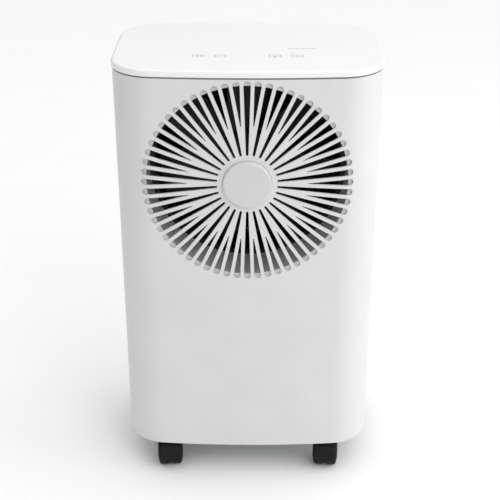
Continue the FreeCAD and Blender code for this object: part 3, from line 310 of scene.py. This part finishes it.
def rolled_aluminium_fin():
    # thin rolled foil: bright, with fine lines along the rolling direction
    return metal("rolled_aluminium_fin", linear("DADCDE"), 0.32, 0.08, 2.0, (1, 1, 8), 0.01)


def drawn_copper_tube():
    # drawn and oxidised copper: a dull brown, with streaks along the tube
    return metal("drawn_copper_tube", linear("8A6653"), 0.42, 0.15, 3.0, (0.3, 1, 1), 0.01)


def zinc_plated_steel():
    # bright zinc on screws, shafts and nuts
    return metal("zinc_plated_steel", linear("C4C6C8"), 0.28, 0.08, 1.0, (1, 1, 1), 0.005)


def drawn_aluminium_can():
    # a deep-drawn can with lines up its side
    return metal("drawn_aluminium_can", linear("CFD0D2"), 0.3, 0.06, 1.5, (1, 1, 0.1), 0.006)


def spangled_zinc_sheet():
    # hot-dip galvanised sheet: flat grey crystals that each catch the light differently
    material, tree, principled, place = shader("spangled_zinc_sheet", linear("B9BDBF"), 0.4, Metallic=1.0)
    crystals = add(tree, "TexVoronoi", {"Vector": place, "Scale": 1000 / 9}).outputs["Color"]
    value = add(tree, "SeparateColor", {"Color": crystals}).outputs["Red"]
    tint = ramp(tree, value, linear("A5A9AC"), linear("C9CCCE"))
    tree.links.new(tint, principled.inputs["Base Color"])
    rough = add(tree, "MapRange", {"Value": value, "To Min": 0.3, "To Max": 0.5}).outputs["Result"]
    tree.links.new(rough, principled.inputs["Roughness"])
    return material


def coil_black_painted_shade():
    # a thin black dip coating over the condenser's foil and tubes: dark, with a weak dull gloss; its black
    # is painted shade, so the coil seen through the grille reads as the shade inside the body
    return moulded("coil_black_painted_shade", linear("101113"), 0.5, 1.5, 2.0, 0.02, 0.15)


def sprayed_black_enamel():
    # stoved black enamel on the compressor: glossy with a faint orange peel
    material, tree, principled, place = shader("sprayed_black_enamel", linear("16171A"), 0.25, 1.52,
                                               coat_weight=0.4)
    peel = noise(tree, place, 3, 1)
    tint = ramp(tree, peel, linear("131416"), linear("1B1C1F"))
    tree.links.new(tint, principled.inputs["Base Color"])
    bump(tree, principled, peel, 0.03)
    return material


def solder_mask():
    # green solder mask over copper tracks, which show as lighter lines
    material, tree, principled, place = shader("solder_mask", linear("1F5B34"), 0.3, 1.55)
    tracks = add(tree, "TexBrick", {"Vector": place, "Scale": 1000 / 12, "Color1": (0, 0, 0, 1),
                                    "Color2": (0, 0, 0, 1), "Mortar": (1, 1, 1, 1)}).outputs["Color"]
    tint = add(tree, "MixRGB", {"Fac": tracks, "Color1": (*linear("1F5B34"), 1),
                                "Color2": (*linear("3C8154"), 1)}).outputs["Color"]
    tree.links.new(tint, principled.inputs["Base Color"])
    return material


def clear_san_window():
    # clear moulded SAN: see-through with a faint grey edge
    material, tree, principled, place = shader("clear_san_window", linear("E4EAEC"), 0.08, 1.57,
                                               transmission_weight=0.85)
    ripple = noise(tree, place, 25, 1)
    bump(tree, principled, ripple, 0.05)
    return material


def foamed_pe_float():
    # closed-cell polyethylene foam: white and chalky with fine cells
    material, tree, principled, place = shader("foamed_pe_float", linear("E4E3DE"), 0.8, 1.5)
    cells = add(tree, "TexVoronoi", {"Vector": place, "Scale": 1000 / 1.6}).outputs["Distance"]
    tint = ramp(tree, cells, linear("D6D4CD"), linear("ECEBE7"), 0.0, 0.5)
    tree.links.new(tint, principled.inputs["Base Color"])
    bump(tree, principled, cells, 0.2)
    return material


def sintered_ferrite():
    # pressed and sintered ferrite: charcoal, slightly metallic, granular
    material, tree, principled, place = shader("sintered_ferrite", linear("3A3B3D"), 0.55, Metallic=0.4)
    grit = noise(tree, place, 0.8, 3)
    tint = ramp(tree, grit, linear("2C2D2F"), linear("46474A"))
    tree.links.new(tint, principled.inputs["Base Color"])
    bump(tree, principled, grit, 0.04)
    return material


def painted_floor(code):
    # smooth matt paint with a barely visible roller texture
    material, tree, principled, place = shader("painted_floor", code, 0.85, 1.5)
    roller = noise(tree, place, 120, 2)
    tint = ramp(tree, roller, shade(code, 0.992), shade(code, 1.004), 0.3, 0.7)
    tree.links.new(tint, principled.inputs["Base Color"])
    return material


# ---------------------------------------------------------------- mesh helpers


def dress(names, material, edge=0.0):
    """Give CAD nodes a finish; flat-sided ones may also get rounded edges that catch the light."""
    for name in names:
        node = NODES[name]
        if not node.material_slots:
            node.data.materials.append(material)
        for slot in node.material_slots:
            slot.material = material
        if edge:
            weld = node.modifiers.new("weld", "WELD")
            weld.merge_threshold = 0.005 * MM
            rounding = node.modifiers.new("rounding", "BEVEL")
            rounding.width = edge
            rounding.segments = 2
            rounding.limit_method = "ANGLE"
            rounding.angle_limit = math.radians(40)
            rounding.harden_normals = True


def finish_piece(name, mesh, material, body, smooth=True):
    """Link a new mesh as a piece that rides on a body."""
    for face in mesh.polygons:
        face.use_smooth = smooth
    mesh.materials.append(material)
    piece = bpy.data.objects.new(name, mesh)
    bpy.context.scene.collection.objects.link(piece)
    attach(piece, body)
    return piece


def mesh_from(name, points, faces):
    mesh = bpy.data.meshes.new(name)
    mesh.from_pydata([tuple(point) for point in points], [], faces)
    mesh.validate()
    return mesh


def ribbon(points, width):
    """A line of constant width through points in the plane, as one quad for each stretch."""
    left, right = [], []
    for i, point in enumerate(points):
        along = (points[min(i + 1, len(points) - 1)] - points[max(i - 1, 0)]).normalized()
        side = Vector((-along.y, along.x)) * width / 2
        left.append(point + side)
        right.append(point - side)
    return [[left[i], right[i], right[i + 1], left[i + 1]] for i in range(len(points) - 1)]


def printed(name, shapes, place, height):
    """Flat shapes raised by the thickness of the ink."""
    work = bmesh.new()
    for shape in shapes:
        work.faces.new([work.verts.new((place.x + p.x, place.y + p.y, place.z)) for p in shape])
    bmesh.ops.remove_doubles(work, verts=work.verts, dist=0.001 * MM)
    raised = bmesh.ops.extrude_face_region(work, geom=work.faces[:])["geom"]
    top = [item for item in raised if isinstance(item, bmesh.types.BMVert)]
    bmesh.ops.translate(work, vec=(0, 0, height), verts=top)
    bmesh.ops.recalc_face_normals(work, faces=work.faces)
    mesh = bpy.data.meshes.new(name)
    work.to_mesh(mesh)
    work.free()
    return mesh


# ---------------------------------------------------------------- operators


class DehumidifierOperator:
    bl_options = {"REGISTER", "UNDO"}


class DEHUMIDIFIER_OT_covers(DehumidifierOperator, bpy.types.Operator):
    """Finish the front and rear covers and the soft seal on their top edge, whose dark grey paints the shade
    in the gap under the lid
    """

    bl_idname = "dehumidifier.covers"
    bl_label = "Covers"

    def execute(self, context):
        finish = context.scene.dehumidifier_finish
        dress(("front_cover", "rear_cover"), moulded_abs_cover(finish))
        dress(("lid_seal",), tpe_seal_painted_shade(finish))
        return {"FINISHED"}


class DEHUMIDIFIER_OT_lid(DehumidifierOperator, bpy.types.Operator):
    """Finish the lid"""

    bl_idname = "dehumidifier.lid"
    bl_label = "Lid"

    def execute(self, context):
        dress(("top_lid",), polished_abs_lid(context.scene.dehumidifier_finish))
        return {"FINISHED"}


def arc_points(radius, start, end, centre=(0, 0), count=16):
    """Points along an arc, from one angle to another in degrees."""
    turns = [math.radians(start + (end - start) * i / count) for i in range(count + 1)]
    return [(centre[0] + radius * math.cos(a), centre[1] + radius * math.sin(a)) for a in turns]


# each sign, in millimetres about its key's middle: bold lines, fine lines and filled shapes
SIGNS = (
    # a fan of three blades beside a ring of air
    {"bold": [[(-0.6, 0), (-2.6, 1.2)], [(-0.6, 0), (-2.2, -1.6)], [(-0.6, 0), (1.2, 0.4)]],
     "fine": [arc_points(1.9, -100, 100, (1.6, 0)), arc_points(3.1, -60, 60, (1.6, 0))], "fill": []},
    # a timer: a small case and two hands
    {"bold": [[(1.4, 1.2), (1.4, -0.4), (3.2, -0.4)]],
     "fine": [[(-4.6, -1.6), (-4.6, 1.6), (-0.8, 1.6), (-0.8, -1.6), (-4.6, -1.6)]], "fill": []},
    # a drop beside a tank
    {"bold": [], "fine": [[(1.4, -1.6), (1.4, 1.6), (4.8, 1.6), (4.8, -1.6), (1.4, -1.6)]],
     "fill": [[(-1.0, 2.2)] + arc_points(1.6, 150, 390, (-1.0, -0.6))]},
    # a dial: an arch over a dot
    {"bold": [], "fine": [arc_points(3.4, -8, 188, (0, -1.6)), [(-3.4, -2.1), (3.4, -2.1)]],
     "fill": [arc_points(0.8, 0, 348, (0, -0.2), 12)]},
)


class DEHUMIDIFIER_OT_touch_keys(DehumidifierOperator, bpy.types.Operator):
    """Print the four touch keys and the two lines in their dishes and grooves on the lid"""

    bl_idname = "dehumidifier.touch_keys"
    bl_label = "Touch keys"

    def execute(self, context):
        keys = context.scene.dehumidifier_keys
        ink = printed_ink(context.scene.dehumidifier_finish)
        row = low("top_lid").y + keys.row
        base = high("top_lid").z - keys.dish
        half, rise = keys.width / 2, keys.depth / 2
        lean, lift, straight = half * KEY_END, rise * KEY_END_RISE, half * KEY_STRAIGHT
        ends = [[Vector((side * lean, lift)), Vector((side * half, 0)), Vector((side * lean, -lift))]
                for side in (-1, 1)]
        rails = [[Vector((-straight, side * rise)), Vector((straight, side * rise))] for side in (-1, 1)]
        for index, across in enumerate((-keys.outer, -keys.inner, keys.inner, keys.outer)):
            sign = SIGNS[index]
            shapes = [shape for line in ends for shape in ribbon(line, keys.stroke)]
            shapes += [shape for line in rails for shape in ribbon(line, keys.hairline)]
            for word, width in (("bold", keys.stroke), ("fine", keys.hairline)):
                for line in sign[word]:
                    shapes += ribbon([Vector(point) * MM for point in line], width)
            shapes += [[Vector(point) * MM for point in shape] for shape in sign["fill"]]
            name = "touch_key_%d" % (index + 1)
            mesh = printed(name, shapes, Vector((across, row, base)), keys.ink)
            finish_piece(name, mesh, ink, "root", smooth=False)
        for name, start, end, depth in (
                ("indicator_line", keys.lamp_start, keys.lamp_end, keys.lamp_row),
                ("display_line", keys.display_start, keys.display_end, keys.display_row)):
            line = ribbon([Vector((start, 0)), Vector((end, 0))], keys.line)
            mesh = printed(name, line, Vector((0, low("top_lid").y + depth, base)), keys.ink)
            finish_piece(name, mesh, ink, "root", smooth=False)
        return {"FINISHED"}


class DEHUMIDIFIER_OT_hub_cap(DehumidifierOperator, bpy.types.Operator):
    """Finish the cap in the middle of the grille"""

    bl_idname = "dehumidifier.hub_cap"
    bl_label = "Hub cap"

    def execute(self, context):
        dress(("hub_cap",), polished_abs_hub(context.scene.dehumidifier_finish))
        return {"FINISHED"}


class DEHUMIDIFIER_OT_air_path(DehumidifierOperator, bpy.types.Operator):
    """Finish the duct, the fan and its shroud and motor"""

    bl_idname = "dehumidifier.air_path"
    bl_label = "Air path"

    def execute(self, context):
        finish = context.scene.dehumidifier_finish
        dress(("air_duct",), moulded_pp_duct(finish))
        dress(("fan_shroud", "fan_rotor", "fan_motor"), moulded_abs_black(finish))
        return {"FINISHED"}


class DEHUMIDIFIER_OT_refrigeration(DehumidifierOperator, bpy.types.Operator):
    """Finish the coils, pipes and compressor"""

    bl_idname = "dehumidifier.refrigeration"
    bl_label = "Refrigeration"

    def execute(self, context):
        # the condenser is coated black as painted shade for the dark inside behind the grille
        dress(("condenser_fins", "condenser_tubes"), coil_black_painted_shade())
        dress(("evaporator_fins",), rolled_aluminium_fin())
        dress(("evaporator_tubes", "discharge_pipe", "suction_pipe", "capillary_tube"),
              drawn_copper_tube())
        dress(("compressor",), sprayed_black_enamel())
        dress(("compressor_feet", "drain_plug"), moulded_rubber())
        return {"FINISHED"}


class DEHUMIDIFIER_OT_base(DehumidifierOperator, bpy.types.Operator):
    """Finish the pan, deck, tray, bay wall and grips"""

    bl_idname = "dehumidifier.base"
    bl_label = "Base and decks"

    def execute(self, context):
        finish = context.scene.dehumidifier_finish
        grey = moulded_pp_grey(finish)
        dress(("base_pan", "mid_deck", "drip_tray", "bay_wall", "drain_spigot"), grey)
        dress(("side_grip_left", "side_grip_right"), grey, finish.small_edge)
        return {"FINISHED"}


class DEHUMIDIFIER_OT_electrics(DehumidifierOperator, bpy.types.Operator):
    """Finish the electrics box, capacitor, board, switch and gland"""

    bl_idname = "dehumidifier.electrics"
    bl_label = "Electrics"

    def execute(self, context):
        finish = context.scene.dehumidifier_finish
        dress(("electrics_box",), spangled_zinc_sheet(), finish.small_edge)
        dress(("run_capacitor",), drawn_aluminium_can())
        dress(("control_board",), solder_mask())
        dress(("level_switch", "cord_gland"), moulded_abs_black(finish))
        return {"FINISHED"}


class DEHUMIDIFIER_OT_bucket(DehumidifierOperator, bpy.types.Operator):
    """Finish the bucket, its window, handle and float"""

    bl_idname = "dehumidifier.bucket"
    bl_label = "Bucket"

    def execute(self, context):
        finish = context.scene.dehumidifier_finish
        dress(("bucket",), moulded_abs_cover(finish), finish.cover_edge)
        dress(("bucket_handle",), moulded_pp_grey(finish))
        dress(("bucket_window",), clear_san_window())
        dress(("bucket_float",), foamed_pe_float(), finish.cover_edge)
        dress(("float_magnet",), sintered_ferrite())
        return {"FINISHED"}


class DEHUMIDIFIER_OT_filter(DehumidifierOperator, bpy.types.Operator):
    """Finish the filter frame and its net"""

    bl_idname = "dehumidifier.filter"
    bl_label = "Filter"

    def execute(self, context):
        finish = context.scene.dehumidifier_finish
        dress(("filter_frame",), moulded_pp_white(finish), finish.small_edge)
        dress(("filter_mesh",), woven_nylon_net())
        return {"FINISHED"}


class DEHUMIDIFIER_OT_casters(DehumidifierOperator, bpy.types.Operator):
    """Finish the four casters and their sockets"""

    bl_idname = "dehumidifier.casters"
    bl_label = "Casters"

    def execute(self, context):
        finish = context.scene.dehumidifier_finish
        names = [name for name in NODES if name.startswith("caster_")]
        # both caster finishes are darkened past the black as painted shade for the casters' shaded fronts
        dress([name for name in names if name.endswith(("_frame", "_sockets"))],
              moulded_nylon_caster(finish))
        dress([name for name in names if "_wheel_" in name], moulded_nylon_wheel(finish))
        return {"FINISHED"}


class DEHUMIDIFIER_OT_fasteners(DehumidifierOperator, bpy.types.Operator):
    """Finish the screws, bolts, axles, shaft and nut"""

    bl_idname = "dehumidifier.fasteners"
    bl_label = "Fasteners"

    def execute(self, context):
        names = [name for name in NODES if name.endswith(("_screws", "_bolts", "_axle", "_shaft", "_nut"))]
        dress(names, zinc_plated_steel())
        return {"FINISHED"}


class DEHUMIDIFIER_OT_stage(DehumidifierOperator, bpy.types.Operator):
    """Lay the floor and set the lights and the camera"""

    bl_idname = "dehumidifier.stage"
    bl_label = "Stage"

    def execute(self, context):
        stage = context.scene.dehumidifier_stage
        corners = [(x * FLOOR_HALF, y * FLOOR_HALF, 0) for x, y in ((-1, -1), (1, -1), (1, 1), (-1, 1))]
        floor = bpy.data.objects.new("floor", mesh_from("floor", corners, [(0, 1, 2, 3)]))
        floor.data.materials.append(painted_floor(tuple(stage.floor)))
        context.scene.collection.objects.link(floor)
        self.light(context, "key", stage.key, **KEY_LIGHT)
        self.light(context, "side", stage.side, **SIDE_LIGHT)
        world = bpy.data.worlds.new("white_surroundings")
        world.use_nodes = True
        tree = world.node_tree
        way = add(tree, "SeparateXYZ", {"Vector": add(tree, "TexCoord").outputs["Generated"]}).outputs
        height = add(tree, "MapRange", {"Value": way["Z"], "To Min": stage.horizon,
                                        "To Max": stage.zenith})
        glow = add(tree, "Math", {0: way["X"], 1: stage.lean, 2: height.outputs["Result"]},
                   operation="MULTIPLY_ADD")
        tree.links.new(glow.outputs["Value"], tree.nodes["Background"].inputs["Strength"])
        tree.nodes["Background"].inputs["Color"].default_value = (1, 1, 1, 1)
        context.scene.world = world
        context.scene.view_settings.view_transform = "Standard"
        camera = bpy.data.objects.new("camera", bpy.data.cameras.new("camera"))
        camera.data.lens = stage.lens
        camera.data.sensor_width = SENSOR_MM
        camera.location = CAMERA_PLACE
        camera.rotation_euler = (math.radians(90) - stage.tilt, 0, stage.heading)
        context.scene.collection.objects.link(camera)
        context.scene.camera = camera
        return {"FINISHED"}

    def light(self, context, name, power, size, place):
        """An area light that faces the middle of the object's height."""
        lamp = bpy.data.lights.new(name, "AREA")
        lamp.energy = power
        lamp.size = size
        holder = bpy.data.objects.new(name, lamp)
        holder.location = place
        aim = Vector(LIGHT_AIM) - Vector(place)
        holder.rotation_euler = aim.to_track_quat("-Z", "Y").to_euler()
        context.scene.collection.objects.link(holder)


PIECES = (
    DEHUMIDIFIER_OT_covers, DEHUMIDIFIER_OT_lid, DEHUMIDIFIER_OT_touch_keys, DEHUMIDIFIER_OT_hub_cap,
    DEHUMIDIFIER_OT_air_path, DEHUMIDIFIER_OT_refrigeration, DEHUMIDIFIER_OT_base,
    DEHUMIDIFIER_OT_electrics, DEHUMIDIFIER_OT_bucket, DEHUMIDIFIER_OT_filter,
    DEHUMIDIFIER_OT_casters, DEHUMIDIFIER_OT_fasteners, DEHUMIDIFIER_OT_stage,
)


class DEHUMIDIFIER_PT_pieces(bpy.types.Panel):
    """The list of pieces in the sidebar"""

    bl_idname = "DEHUMIDIFIER_PT_pieces"
    bl_label = "Dehumidifier"
    bl_space_type = "VIEW_3D"
    bl_region_type = "UI"
    bl_category = "Dehumidifier"

    def draw(self, context):
        for operator in PIECES:
            self.layout.operator(operator.bl_idname)


SETTINGS = {
    "dehumidifier_finish": DehumidifierFinish,
    "dehumidifier_keys": DehumidifierKeys,
    "dehumidifier_stage": DehumidifierStage,
}
CLASSES = (*SETTINGS.values(), *PIECES, DEHUMIDIFIER_PT_pieces)


def register():
    for item in CLASSES:
        bpy.utils.register_class(item)
    for name, group in SETTINGS.items():
        setattr(bpy.types.Scene, name, PointerProperty(type=group))


def unregister():
    for name in SETTINGS:
        delattr(bpy.types.Scene, name)
    for item in reversed(CLASSES):
        bpy.utils.unregister_class(item)


def main():
    register()
    for operator in PIECES:
        group, name = operator.bl_idname.split(".")
        getattr(getattr(bpy.ops, group), name)()


if __name__ == "__main__":
    main()
